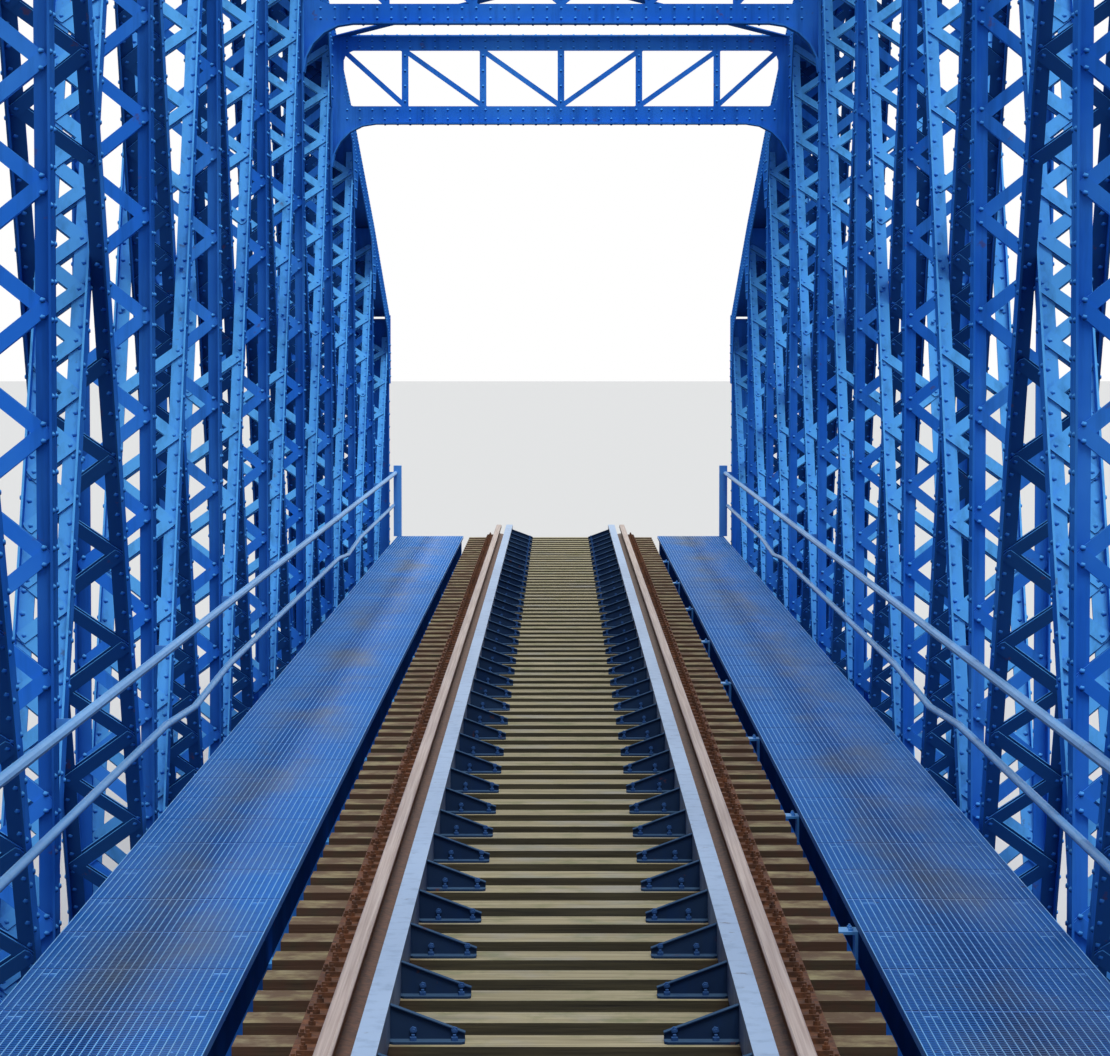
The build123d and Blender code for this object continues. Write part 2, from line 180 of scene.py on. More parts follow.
def start_head(radius, height, sides):
    """A round that stands on Z 0."""
    head = start_round(radius, height, sides)
    head.location.z = height / 2
    bpy.ops.object.transform_apply(location=True, rotation=False, scale=False)
    return head


def bevel_edges(piece, offset, test):
    pick(piece, "EDGE", test)
    bpy.ops.mesh.bevel(offset=offset, segments=1)
    finish_edit()


def cut_through(place, normal):
    """Cut the active piece's faces along a plane, and keep both sides."""
    bpy.ops.object.mode_set(mode="EDIT")
    bpy.ops.mesh.select_all(action="SELECT")
    bpy.ops.mesh.bisect(plane_co=place, plane_no=normal)
    finish_edit()


def laid_out(name, model, places, smooth=False):
    """One mesh of copies of a model, one at each place. The model itself is removed."""
    source = model.data
    count = len(source.vertices)
    corners = np.empty(count * 3)
    source.vertices.foreach_get("co", corners)
    corners = corners.reshape(-1, 3)
    matrices = np.array([[list(row) for row in place] for place in places])
    points = np.einsum("nij,kj->nki", matrices[:, :3, :3], corners) + matrices[:, None, :3, 3]
    faces = [tuple(face.vertices) for face in source.polygons]
    mesh = bpy.data.meshes.new(name)
    starts = [copy * count for copy in range(len(places))]
    all_faces = [tuple(start + corner for corner in face) for start in starts for face in faces]
    mesh.from_pydata(points.reshape(-1, 3).tolist(), [], all_faces)
    mesh.polygons.foreach_set("use_smooth", [smooth] * len(mesh.polygons))
    piece = bpy.data.objects.new(name, mesh)
    bpy.context.scene.collection.objects.link(piece)
    bpy.data.objects.remove(model)
    return piece


def placed(position, along, normal):
    """A place whose X runs along one direction and whose Z stands on another."""
    x_axis = Vector(along).normalized()
    y_axis = Vector(normal).cross(x_axis).normalized()
    z_axis = x_axis.cross(y_axis)
    turn = Matrix((x_axis, y_axis, z_axis)).transposed().to_4x4()
    return Matrix.Translation(Vector(position)) @ turn


def stretched(position, along, normal, length):
    """As placed, with the model's unit length stretched to the given one."""
    return placed(position, along, normal) @ Matrix.Diagonal((length, 1, 1, 1))


def material_of(name):
    """Material named like a slot, with spaces for its underscores."""
    return bpy.data.materials[name.replace("_", " ")]


def dress(piece, material):
    piece.data.materials.clear()
    piece.data.materials.append(material)
    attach(piece, "root")
    return piece


# Models that are laid out many times


def lacing_bar(length, width, thickness):
    """Flat bar with clipped ends, its length along X."""
    bar = start_block((length, width, thickness))
    bevel_edges(bar, width * 0.28, lambda spot, run: abs(run.z) > 0.9)
    return bar


def rivet_head(radius):
    """Low button head standing on Z 0."""
    rivet = start_head(radius, radius * 0.6, 5)
    pick(rivet, "FACE", lambda spot, normal: normal.z > 0.9)
    bpy.ops.transform.resize(value=(0.55, 0.55, 1))
    pick(rivet, "FACE", lambda spot, normal: normal.z < -0.9)
    bpy.ops.mesh.delete(type="FACE")
    finish_edit()
    return rivet


def hex_bolt(radius, height):
    """Hexagon head with a short threaded end, standing on Z 0."""
    bolt = start_head(radius, height, 6)
    pick(bolt, "FACE", lambda spot, normal: normal.z > 0.9)
    bpy.ops.mesh.inset(thickness=radius * 0.4, depth=0)
    bpy.ops.mesh.extrude_region_move(TRANSFORM_OT_translate={"value": (0, 0, height * 0.7)})
    finish_edit()
    return bolt


def lay_rivets(name, radius, places):
    """One piece of rivet heads in the main paint."""
    dress(laid_out(name, rivet_head(radius), places, True), material_of("blue_paint"))


# Truss lines


def course(first, last):
    """Direction and length of a line in the truss plane, whose points are given as Y and Z."""
    along = Vector((0, last.x - first.x, last.y - first.y))
    return along.normalized(), along.length


def post_line(index, pitch):
    """Lowest and highest lacing knot on a post. The knots stand level from post to post."""
    bars = int((chord_level(index) - CHORD_DEPTH - LOWEST_KNOT) / (pitch / 2))
    return [Vector((PANELS[index], z)) for z in (LOWEST_KNOT, LOWEST_KNOT + bars * pitch / 2)]


def diagonal_lines():
    """Start, end and crossing of each diagonal's line in the truss plane, and whether it is a main one."""
    low = (CHORD_BASE + CHORD_TOP) / 2
    lines = []
    for bay in range(BAYS):
        setback = (END_FLANGE_HALF if bay in (0, BAYS - 1) else POST_FLANGE_HALF) + 0.01
        main_high = bay if 2 * bay + 1 < BAYS else bay + 1
        rises = [chord_level(index) - CHORD_DEPTH / 2 - low for index in (bay, bay + 1)]
        share = rises[0] / (rises[0] + rises[1])
        crossing = Vector((PANELS[bay] + share * BAY, low + share * rises[1]))
        for low_index, high_index in ((bay, bay + 1), (bay + 1, bay)):
            start = Vector((PANELS[low_index], low))
            end = Vector((PANELS[high_index], low + rises[high_index - bay]))
            cut = setback / abs(end.x - start.x)
            main = high_index == main_high
            lines.append((start.lerp(end, cut), start.lerp(end, 1 - cut), crossing, main))
    return lines


def lace(side, first, last, pitch, inset, stem_half, open_at=None):
    """Places of zigzag bars on both faces of two stems, left open where another member passes through."""
    sizes = bpy.context.scene.bridge_sizes
    along, distance = course(first, last)
    normal = Vector(ACROSS).cross(along)
    bars = max(1, round(2 * distance / pitch))
    step = distance / bars
    stems = (side * (INNER + inset), side * (OUTER - inset))
    origin = Vector((0, first.x, first.y))
    places = []
    for bar in range(bars):
        low = origin + along * bar * step
        high = low + along * step
        middle = (low + high) / 2
        if open_at and math.hypot(middle.y - open_at.x, middle.z - open_at.y) < OPEN_LENGTH:
            continue
        start = Vector((stems[bar % 2], low.y, low.z))
        end = Vector((stems[1 - bar % 2], high.y, high.z))
        run = end - start
        reach = run.length + sizes.lacing_width * BAR_LAP
        for face in (-1, 1):
            lift = normal * face * (stem_half + sizes.lacing_thickness * (0.5 + bar % 2))
            places.append(stretched((start + end) / 2 + lift, run, normal, reach))
    return places


def lacing_knots(side, first, last, pitch, inset):
    """Points where the lacing meets the stems, by turns on one and the other, with the member's direction."""
    along, distance = course(first, last)
    bars = max(1, round(2 * distance / pitch))
    stems = (side * (INNER + inset), side * (OUTER - inset))
    knots = []
    for bar in range(bars + 1):
        middle = Vector((0, first.x, first.y)) + along * bar * distance / bars
        knots.append(Vector((stems[bar % 2], middle.y, middle.z)))
    return knots, along


# Shader helpers


def add(tree, kind, inputs=None, **settings):
    """Add a node, set its options, and set or link its inputs."""
    node = tree.nodes.new(kind)
    for key, value in settings.items():
        setattr(node, key, value)
    for socket, value in (inputs or {}).items():
        if isinstance(value, bpy.types.NodeSocket):
            tree.links.new(value, node.inputs[socket])
        else:
            node.inputs[socket].default_value = value
    return node


def blend_colours(tree, share, first, second):
    node = add(tree, "ShaderNodeMix", {"Factor": share}, data_type="RGBA")
    for socket, value in (("A", first), ("B", second)):
        target = [item for item in node.inputs if item.name == socket and item.type == "RGBA"][0]
        if isinstance(value, bpy.types.NodeSocket):
            tree.links.new(value, target)
        else:
            target.default_value = value
    return [item for item in node.outputs if item.type == "RGBA"][0]


def ramp(tree, value, low, high, top):
    """Value eased from 0 at low to top at high."""
    values = {"Value": value, "From Min": low, "From Max": high, "To Max": top}
    return add(tree, "ShaderNodeMapRange", values).outputs["Result"]


def combine(tree, operation, first, second):
    node = add(tree, "ShaderNodeMath", {0: first, 1: second}, operation=operation, use_clamp=True)
    return node.outputs[0]


def noise(tree, place, scale, detail, stretch=None):
    if stretch:
        place = add(tree, "ShaderNodeMapping", {"Vector": place, "Scale": stretch}).outputs["Vector"]
    values = {"Vector": place, "Scale": scale, "Detail": detail, "Roughness": 0.6}
    return add(tree, "ShaderNodeTexNoise", values).outputs["Fac"]


def new_group(name, inputs, outputs):
    group = bpy.data.node_groups.new(name, "ShaderNodeTree")
    for title, kind, default in inputs:
        socket = group.interface.new_socket(title, in_out="INPUT", socket_type=kind)
        socket.default_value = default
    for title, kind in outputs:
        group.interface.new_socket(title, in_out="OUTPUT", socket_type=kind)
    return group, group.nodes.new("NodeGroupInput"), group.nodes.new("NodeGroupOutput")


COLOUR = "NodeSocketColor"
NUMBER = "NodeSocketFloat"


def weathering_and_light_group():
    """Paint that fades on top and is painted lighter there as sky light, darker on faces that look down as
    painted shade, streaks with dirt and rusts in small spots.
    """
    group, given, result = new_group(
        "Bridge weathering and painted light",
        [
            ("Paint", COLOUR, (0.02, 0.13, 0.6, 1)),
            # Pale colour for faces that look up: painted sky light, partly sun fading.
            ("Sky lit fade", COLOUR, (0.1, 0.3, 0.75, 1)),
            # Dark colour for the dirt streaks, and painted shade on faces that look down.
            ("Grime and shade", COLOUR, (0.008, 0.036, 0.13, 1)),
            ("Rust", COLOUR, (0.12, 0.04, 0.015, 1)),
            ("Fade and top light", NUMBER, 0.4),
            ("Grime amount", NUMBER, 0.35),
            ("Rust amount", NUMBER, 0.5),
        ],
        [("Color", COLOUR), ("Roughness", NUMBER), ("Height", NUMBER)],
    )
    place = add(group, "ShaderNodeTexCoord").outputs["Object"]
    normal = add(group, "ShaderNodeNewGeometry").outputs["Normal"]
    upward = add(group, "ShaderNodeSeparateXYZ", {"Vector": normal}).outputs["Z"]
    broad = noise(group, place, 0.8, 4)
    fine = noise(group, place, 9, 6)
    streaks = noise(group, place, 1, 5, (11, 11, 0.9))
    # Painted sky light: faces that look up turn pale, partly sun fading; the broad patches are real fading.
    top_fade_and_light = ramp(group, upward, 0.08, 0.42, 1)
    patch_fade = ramp(group, broad, 0.42, 0.68, 0.3)
    fade_and_top_light = combine(group, "ADD", top_fade_and_light, patch_fade)
    fade_and_top_light = combine(group, "MULTIPLY", fade_and_top_light, given.outputs["Fade and top light"])
    colour = blend_colours(group, fade_and_top_light, given.outputs["Paint"], given.outputs["Sky lit fade"])
    # Painted shade: faces that look down turn dark, joined with the dirt streaks below.
    under = ramp(group, upward, -0.05, -0.42, 0.82)
    grime_and_shade = combine(group, "MULTIPLY", ramp(group, streaks, 0.5, 0.74, 1), given.outputs["Grime amount"])
    grime_and_shade = combine(group, "MAXIMUM", grime_and_shade, under)
    colour = blend_colours(group, grime_and_shade, colour, given.outputs["Grime and shade"])
    spots = combine(group, "MULTIPLY", ramp(group, fine, 0.66, 0.72, 1), given.outputs["Rust amount"])
    colour = blend_colours(group, spots, colour, given.outputs["Rust"])
    group.links.new(colour, result.inputs["Color"])
    rough = ramp(group, combine(group, "MAXIMUM", grime_and_shade, spots), 0, 1, 0.4)
    rough = combine(group, "ADD", rough, 0.45)
    group.links.new(rough, result.inputs["Roughness"])
    group.links.new(combine(group, "ADD", fine, spots), result.inputs["Height"])
    return group


def new_material(name):
    material = bpy.data.materials.new(name)
    material.use_nodes = True
    tree = material.node_tree
    return material, tree, tree.nodes["Principled BSDF"]


def bump(tree, shader, height, distance, strength=0.5):
    node = add(tree, "ShaderNodeBump", {"Height": height, "Distance": distance, "Strength": strength})
    tree.links.new(node.outputs["Normal"], shader.inputs["Normal"])


def painted(name, group, paint, sky_lit_and_faded, fade_and_top_light, grime_and_shade, rust, gloss=0.0):
    material, tree, shader = new_material(name)
    values = {"Paint": (*paint, 1), "Sky lit fade": (*sky_lit_and_faded, 1), "Fade and top light": fade_and_top_light}
    values.update({"Grime amount": grime_and_shade, "Rust amount": rust})
    node = add(tree, "ShaderNodeGroup", values, node_tree=group)
    tree.links.new(node.outputs["Color"], shader.inputs["Base Color"])
    tree.links.new(node.outputs["Roughness"], shader.inputs["Roughness"])
    shader.inputs["Specular IOR Level"].default_value = gloss
    bump(tree, shader, node.outputs["Height"], 0.002, 0.35)
    return material


def sleeper_timber():
    """Weathered timber, pale and mossy on top, dark at the sides, stained with rust under the rails."""
    material, tree, shader = new_material("sleeper timber")
    place = add(tree, "ShaderNodeTexCoord").outputs["Object"]
    normal = add(tree, "ShaderNodeNewGeometry").outputs["Normal"]
    upward = add(tree, "ShaderNodeSeparateXYZ", {"Vector": normal}).outputs["Z"]
    across = add(tree, "ShaderNodeSeparateXYZ", {"Vector": place}).outputs["X"]
    grain = noise(tree, place, 1, 8, (1.6, 46, 46))
    broad = noise(tree, place, 1.7, 4)
    moss = noise(tree, place, 5.5, 6)
    pale = blend_colours(tree, ramp(tree, grain, 0.35, 0.65, 1), (0.21, 0.18, 0.10, 1), (0.42, 0.37, 0.23, 1))
    pale = blend_colours(tree, ramp(tree, moss, 0.5, 0.7, 0.6), pale, (0.12, 0.15, 0.055, 1))
    pale = blend_colours(tree, ramp(tree, broad, 0.52, 0.72, 0.5), pale, (0.29, 0.30, 0.31, 1))
    distance = combine(tree, "ABSOLUTE", across, 0.0)
    lichen = combine(tree, "MULTIPLY", ramp(tree, distance, 0.9, 1.05, 1), ramp(tree, broad, 0.3, 0.6, 0.75))
    pale = blend_colours(tree, lichen, pale, (0.36, 0.30, 0.10, 1))
    shade = ramp(tree, grain, 0.3, 0.7, 1)
    dark = blend_colours(tree, shade, (0.022, 0.018, 0.010, 1), (0.085, 0.072, 0.035, 1))
    colour = blend_colours(tree, ramp(tree, upward, 0.3, 0.8, 1), dark, pale)
    offset = add(tree, "ShaderNodeMath", {0: distance, 1: RAIL_LINE}, operation="SUBTRACT").outputs[0]
    offset = add(tree, "ShaderNodeMath", {0: offset}, operation="ABSOLUTE").outputs[0]
    stain = combine(tree, "MULTIPLY", ramp(tree, offset, 0.32, 0.12, 1), ramp(tree, moss, 0.3, 0.55, 0.9))
    colour = blend_colours(tree, stain, colour, (0.085, 0.036, 0.018, 1))
    tree.links.new(colour, shader.inputs["Base Color"])
    shader.inputs["Roughness"].default_value = 0.85
    bump(tree, shader, grain, 0.006, 0.7)
    return material


def rusted(name, light, dark, metal):
    material, tree, shader = new_material(name)
    place = add(tree, "ShaderNodeTexCoord").outputs["Object"]
    fine = noise(tree, place, 26, 8)
    broad = noise(tree, place, 2.2, 4)
    colour = blend_colours(tree, ramp(tree, fine, 0.35, 0.65, 1), (*dark, 1), (*light, 1))
    colour = blend_colours(tree, ramp(tree, broad, 0.45, 0.7, 0.5), colour, (0.05, 0.028, 0.018, 1))
    tree.links.new(colour, shader.inputs["Base Color"])
    shader.inputs["Roughness"].default_value = 0.82
    shader.inputs["Metallic"].default_value = metal
    bump(tree, shader, fine, 0.004, 0.6)
    return material


def running_steel():
    """Rail with rusted sides and a paler worn top."""
    material, tree, shader = new_material("rail steel")
    place = add(tree, "ShaderNodeTexCoord").outputs["Object"]
    height = add(tree, "ShaderNodeSeparateXYZ", {"Vector": place}).outputs["Z"]
    fine = noise(tree, place, 30, 8)
    lines = noise(tree, place, 1, 5, (90, 0.8, 60))
    spots = ramp(tree, fine, 0.35, 0.65, 1)
    rust = blend_colours(tree, spots, (0.07, 0.026, 0.012, 1), (0.21, 0.085, 0.036, 1))
    worn = blend_colours(tree, ramp(tree, lines, 0.35, 0.65, 1), (0.36, 0.27, 0.23, 1), (0.56, 0.47, 0.42, 1))
    top = ramp(tree, height, RAIL_TOP - 0.010, RAIL_TOP - 0.004, 1)
    tree.links.new(blend_colours(tree, top, rust, worn), shader.inputs["Base Color"])
    tree.links.new(ramp(tree, top, 1, 0, 0.45), shader.inputs["Metallic"])
    shader.inputs["Roughness"].default_value = 0.5
    bump(tree, shader, fine, 0.002, 0.4)
    return material


def guard_steel(group):
    """Guard rail: top leg turned pale as painted sky light on faces that look up, dark painted upright leg.
    """
    material, tree, shader = new_material("guard paint")
    # The pale colour is painted sky light on the top leg.
    values = {"Paint": (0.012, 0.032, 0.10, 1), "Sky lit fade": (0.33, 0.47, 0.68, 1), "Fade and top light": 1}
    values.update({"Grime amount": 0.25, "Rust amount": 0.6})
    node = add(tree, "ShaderNodeGroup", values, node_tree=group)
    tree.links.new(node.outputs["Color"], shader.inputs["Base Color"])
    tree.links.new(node.outputs["Roughness"], shader.inputs["Roughness"])
    bump(tree, shader, node.outputs["Height"], 0.002, 0.35)
    return material


def grating_paint(group, name, paint, sky_lit_and_faded):
    """Grating paint, pale on faces that look up as painted sky light, rubbed through to grey along the middle
    of the walkway.
    """
    material, tree, shader = new_material(name)
    place = add(tree, "ShaderNodeTexCoord").outputs["Object"]
    across = add(tree, "ShaderNodeSeparateXYZ", {"Vector": place}).outputs["X"]
    values = {"Paint": (*paint, 1), "Sky lit fade": (*sky_lit_and_faded, 1), "Fade and top light": 0.9, "Grime amount": 0.15}
    node = add(tree, "ShaderNodeGroup", values, node_tree=group)
    distance = add(tree, "ShaderNodeMath", {0: across}, operation="ABSOLUTE").outputs[0]
    offset = add(tree, "ShaderNodeMath", {0: distance, 1: WALKWAY_MIDDLE}, operation="SUBTRACT").outputs[0]
    offset = add(tree, "ShaderNodeMath", {0: offset}, operation="ABSOLUTE").outputs[0]
    patches = noise(tree, place, 1, 5, (1.6, 0.45, 1))
    wear = combine(tree, "MULTIPLY", ramp(tree, offset, 0.46, 0.12, 1), ramp(tree, patches, 0.42, 0.66, 0.7))
    colour = blend_colours(tree, wear, node.outputs["Color"], (0.19, 0.23, 0.27, 1))
    tree.links.new(colour, shader.inputs["Base Color"])
    tree.links.new(node.outputs["Roughness"], shader.inputs["Roughness"])
    bump(tree, shader, node.outputs["Height"], 0.001, 0.3)
    return material


def painted_shade_paint(node):
    """Paint of the darker solids, as painted shade: a darker copy of the paint for the left posts, and the
    deck paint for the bearers in the walkway's shade.
    """
    if node.endswith("walkway_bearers"):
        return material_of("deck_paint")
    return material_of("post_paint") if node in ("left_posts", "left_end_posts") else None


# Panel values


def length_value(name, description, default):
    return bpy.props.FloatProperty(name=name, description=description, default=default, unit="LENGTH")


def colour_value(name, description, default):
    return bpy.props.FloatVectorProperty(
        name=name, description=description, default=default, subtype="COLOR", min=0, max=1
    )


class BridgeSizes(bpy.types.PropertyGroup):
    """Sizes of the fittings that the scene adds"""

    lacing_pitch: length_value("Lacing pitch", "Length of one zigzag along a member", 0.586)
    counter_pitch: length_value("Counter lacing pitch", "Length of one zigzag on a counter-diagonal", 0.3)
    lacing_width: length_value("Lacing width", "Width of a lacing bar", 0.074)
    lacing_thickness: length_value("Lacing thickness", "Thickness of a lacing bar", 0.009)
    rivet_radius: length_value("Rivet radius", "Radius of a rivet head", 0.017)
    rivet_pitch: length_value("Rivet pitch", "Spacing of the rivets along a diagonal", 0.125)
    rail_dip: length_value("Handrail dip", "Depth of the dips in the lower handrails", 0.06)
    grating_pitch: length_value("Grating pitch", "Spacing of the grating's long bars", 0.0333)
    grating_panel: length_value("Grating panel", "Length of one grating panel", 1.0)


class BridgeColours(bpy.types.PropertyGroup):
    """Paint colours"""

    paint: colour_value("Paint", "Main paint", (0.019, 0.150, 0.63))
    # Pale colour for faces that look up: painted sky light, partly sun fading.
    sky_lit_and_faded: colour_value("Faded paint", "Paint on faces that look up", (0.12, 0.48, 1.0))
    handrail: colour_value("Handrail", "Handrail paint", (0.075, 0.32, 0.80))


# Operators


class BRIDGE_OT_finishes(bpy.types.Operator):
    """Make the materials and give them to the solid parts"""

    bl_idname = "bridge.finishes"
    bl_label = "Finishes"

    def execute(self, context):
        colours = context.scene.bridge_colours
        group = weathering_and_light_group()
        # The second colour of each paint is painted sky light on faces that look up, partly sun fading.
        painted("blue paint", group, colours.paint, colours.sky_lit_and_faded, 0.9, 0.4, 0.45)
        painted("rail paint", group, colours.handrail, (0.20, 0.50, 0.92), 0.8, 0.15, 0.3, 0.5)
        painted("bracket paint", group, (0.014, 0.032, 0.082), (0.055, 0.11, 0.20), 0.9, 0.4, 0.7)
        painted("bolt paint", group, (0.030, 0.085, 0.24), (0.07, 0.17, 0.40), 0.9, 0.5, 0.7)
        # Painted shade: a darker copy of the main paint for the left posts.
        painted("post paint", group, (0.014, 0.105, 0.47), (0.08, 0.36, 0.90), 0.9, 0.5, 0.45)
        # Painted light: a lighter copy of the main paint for the left truss's lacing.
        painted("lacing paint", group, (0.024, 0.185, 0.76), (0.13, 0.50, 1.0), 0.9, 0.35, 0.45)
        # Also given to the walkway bearers as painted shade.
        painted("deck paint", group, (0.006, 0.035, 0.16), (0.02, 0.12, 0.42), 0.9, 0.7, 0.6)
        painted("bearing iron", group, (0.02, 0.05, 0.14), (0.05, 0.09, 0.18), 0.5, 0.6, 0.8)
        guard_steel(group)
        # Painted light and shade: pale tops on the bars, and a darker copy of the paint for the rods and
        # seams in the shade between them.
        grating_paint(group, "grating paint", (0.018, 0.15, 0.58), (0.20, 0.56, 0.98))
        grating_paint(group, "grating rods", (0.014, 0.13, 0.50), (0.026, 0.20, 0.66))
        sleeper_timber()
        running_steel()
        rusted("rusted iron", (0.20, 0.075, 0.030), (0.06, 0.024, 0.012), 0.1)
        slots = {part["node"]: part["material_slot"] for part in frame["record"]["subparts"]}
        for node, solid in frame["nodes"].items():
            for place in solid.material_slots:
                place.material = painted_shade_paint(node) or material_of(slots[node])
        return {"FINISHED"}


class BRIDGE_OT_lacing(bpy.types.Operator):
    """Lace the posts and the diagonals of both trusses"""

    bl_idname = "bridge.lacing"
    bl_label = "Lacing"

    def execute(self, context):
        sizes = context.scene.bridge_sizes
        for name, side in SIDES:
            # Painted light: the left truss's lacing takes the lighter copy of the paint.
            paint = material_of("lacing_paint" if side < 0 else "blue_paint")
            posts, mains, counters = [], [], []
            for index in range(1, BAYS):
                first, last = post_line(index, sizes.lacing_pitch)
                posts += lace(side, first, last, sizes.lacing_pitch, POST_STEM, POST_STEM_HALF)
            for first, last, crossing, main in diagonal_lines():
                line = (side, first, last)
                if main:
                    mains += lace(*line, sizes.lacing_pitch, MAIN_STEM, DIAGONAL_STEM_HALF, crossing)
                else:
                    counters += lace(*line, sizes.counter_pitch, COUNTER_STEM, DIAGONAL_STEM_HALF)
            for kind, places in (("post", posts), ("main_diagonal", mains), ("counter_diagonal", counters)):
                model = lacing_bar(1, sizes.lacing_width, sizes.lacing_thickness)
                dress(laid_out(name + "_" + kind + "_lacing", model, places), paint)
        return {"FINISHED"}


def on_wall(side, inset, y, z, along):
    """Rivet places on the track's side and the outer side of a truss wall, set in from its faces."""
    return [
        placed((side * (INNER + inset), y, z), along, (-side, 0, 0)),
        placed((side * (OUTER - inset), y, z), along, (side, 0, 0)),
    ]


def both_faces(knots, along, half, pair_gap):
    """Rivet places in pairs on both faces of a stem."""
    normal = Vector(ACROSS).cross(along)
    places = []
    for knot in knots:
        for shift in (-pair_gap / 2, pair_gap / 2):
            for face in (-1, 1):
                position = knot + along * shift + normal * face * half
                places.append(placed(position, along, normal * face))
    return places


class BRIDGE_OT_post_rivets(bpy.types.Operator):
    """Rivet the posts: pairs at the lacing, rows along the flanges"""

    bl_idname = "bridge.post_rivets"
    bl_label = "Post rivets"

    def execute(self, context):
        sizes = context.scene.bridge_sizes
        row_pitch, row_start, post_edge, end_post_edge = 0.18, 0.08, 0.06, 0.1
        lift = POST_STEM_HALF + RIVET_LIFT * sizes.lacing_thickness
        for name, side in SIDES:
            places = []
            for index in range(BAYS + 1):
                inside = 0 < index < BAYS
                if inside:
                    first, last = post_line(index, sizes.lacing_pitch)
                    knots, along = lacing_knots(side, first, last, sizes.lacing_pitch, POST_STEM)
                    places += both_faces(knots, along, lift, KNOT_GAP)
                edge = post_edge if inside else end_post_edge
                clear_low = CHORD_TOP + GUSSET_REACH
                clear_high = chord_level(index) - CHORD_DEPTH - GUSSET_REACH
                count = int((clear_high - clear_low) / row_pitch)
                for step in range(count):
                    z = clear_low + row_start + step * row_pitch
                    for y in (-edge, edge):
                        places += on_wall(side, WALL, PANELS[index] + y, z, UP)
            lay_rivets(name + "_post_rivets", sizes.rivet_radius, places)
        return {"FINISHED"}


class BRIDGE_OT_diagonal_rivets(bpy.types.Operator):
    """Rivet the diagonals: close rows on their stems and flats"""

    bl_idname = "bridge.diagonal_rivets"
    bl_label = "Diagonal rivets"

    def execute(self, context):
        sizes = context.scene.bridge_sizes
        main_row, counter_row, flat_row = 0.046, 0.138, 0.052
        lift = DIAGONAL_STEM_HALF + RIVET_LIFT * sizes.lacing_thickness
        for name, side in SIDES:
            stems = {True: [], False: []}
            flats = []
            for first, last, _, main in diagonal_lines():
                along, distance = course(first, last)
                normal = Vector(ACROSS).cross(along)
                count = int(distance / sizes.rivet_pitch)
                start = (distance - (count - 1) * sizes.rivet_pitch) / 2
                origin = Vector((0, first.x, first.y))
                row = INNER + (main_row if main else counter_row)
                back = INNER + (WALL if main else COUNTER_BACK)
                for step in range(count):
                    middle = origin + along * (start + step * sizes.rivet_pitch)
                    for x in (row, INNER + OUTER - row):
                        spot = Vector((side * x, middle.y, middle.z))
                        for face in (-1, 1):
                            position = spot + normal * face * DIAGONAL_STEM_HALF
                            stems[main].append(placed(position, along, normal * face))
                    if step % 2:
                        continue
                    for shift in (-flat_row, flat_row):
                        spot = middle + normal * shift
                        if not in_gusset(spot):
                            flats.append(placed((side * back, spot.y, spot.z), along, (-side, 0, 0)))
                            outer = (side * (INNER + OUTER - back), spot.y, spot.z)
                            flats.append(placed(outer, along, (side, 0, 0)))
                pitch = sizes.lacing_pitch if main else sizes.counter_pitch
                inset = MAIN_STEM if main else COUNTER_STEM
                knots, along = lacing_knots(side, first, last, pitch, inset)
                for knot in knots:
                    for face in (-1, 1):
                        stems[main].append(placed(knot + normal * face * lift, along, normal * face))
            for kind, places in (("main", stems[True]), ("counter", stems[False]), ("flat", flats)):
                lay_rivets(name + "_" + kind + "_diagonal_rivets", sizes.rivet_radius, places)
        return {"FINISHED"}


def in_gusset(spot):
    """Whether a point in the truss plane lies behind a chord web or gusset."""
    foot_half, slope, clearance = 0.65, 0.4, 0.04
    nearest = min(range(BAYS + 1), key=lambda index: abs(PANELS[index] - spot.y))
    away = abs(PANELS[nearest] - spot.y)
    share = min(max((foot_half - away) / slope, 0), 1)
    reach = GUSSET_REACH * share + clearance
    position = (spot.y + HALF_SPAN) / BAY
    bay = min(max(int(position), 0), BAYS - 1)
    level = chord_level(bay) + (chord_level(bay + 1) - chord_level(bay)) * (position - bay)
    return spot.z < CHORD_TOP + reach or spot.z > level - CHORD_DEPTH - reach


class BRIDGE_OT_chord_rivets(bpy.types.Operator):
    """Rivet the chords and their gussets"""

    bl_idname = "bridge.chord_rivets"
    bl_label = "Chord and gusset rivets"

    def execute(self, context):
        sizes = context.scene.bridge_sizes
        chord_pitch, margin, edge, end_margin = 0.14, 0.05, 0.06, 0.03
        gusset_rows, gusset_start, row_pitch, column_pitch = 5, 0.06, 0.11, 0.065
        for name, side in SIDES:
            places = []
            for bay in range(BAYS):
                count = int(BAY / chord_pitch)
                low, high = chord_level(bay), chord_level(bay + 1)
                along = Vector((0, BAY, high - low)).normalized()
                for step in range(count):
                    share = (step + 0.5) / count
                    y = PANELS[bay] + share * BAY
                    top = low + share * (high - low)
                    upper = (top - COVER - margin, top - CHORD_DEPTH + margin)
                    lower = (CHORD_BASE + COVER + margin, CHORD_TOP - margin)
                    for z in upper + lower:
                        places += on_wall(side, 0, y, z, along)
                    for x in (INNER + edge, OUTER - edge):
                        if top < CAD_BOX[1].z - sizes.rivet_radius:
                            places.append(placed((side * x, y, top), along, Vector(ACROSS).cross(along)))
            lay_rivets(name + "_chord_rivets", sizes.rivet_radius, places)
            places = []
            for index in range(BAYS + 1):
                for row in range(gusset_rows):
                    reach = gusset_start + row * row_pitch
                    for column in (-3, -2, -1, 1, 2, 3):
                        y = PANELS[index] + column * column_pitch
                        if abs(y) > HALF_LENGTH - end_margin:
                            continue
                        for z in (CHORD_TOP + reach, chord_level(index) - CHORD_DEPTH - reach):
                            places += on_wall(side, 0, y, z, UP)
            lay_rivets(name + "_gusset_rivets", sizes.rivet_radius, places)
        return {"FINISHED"}


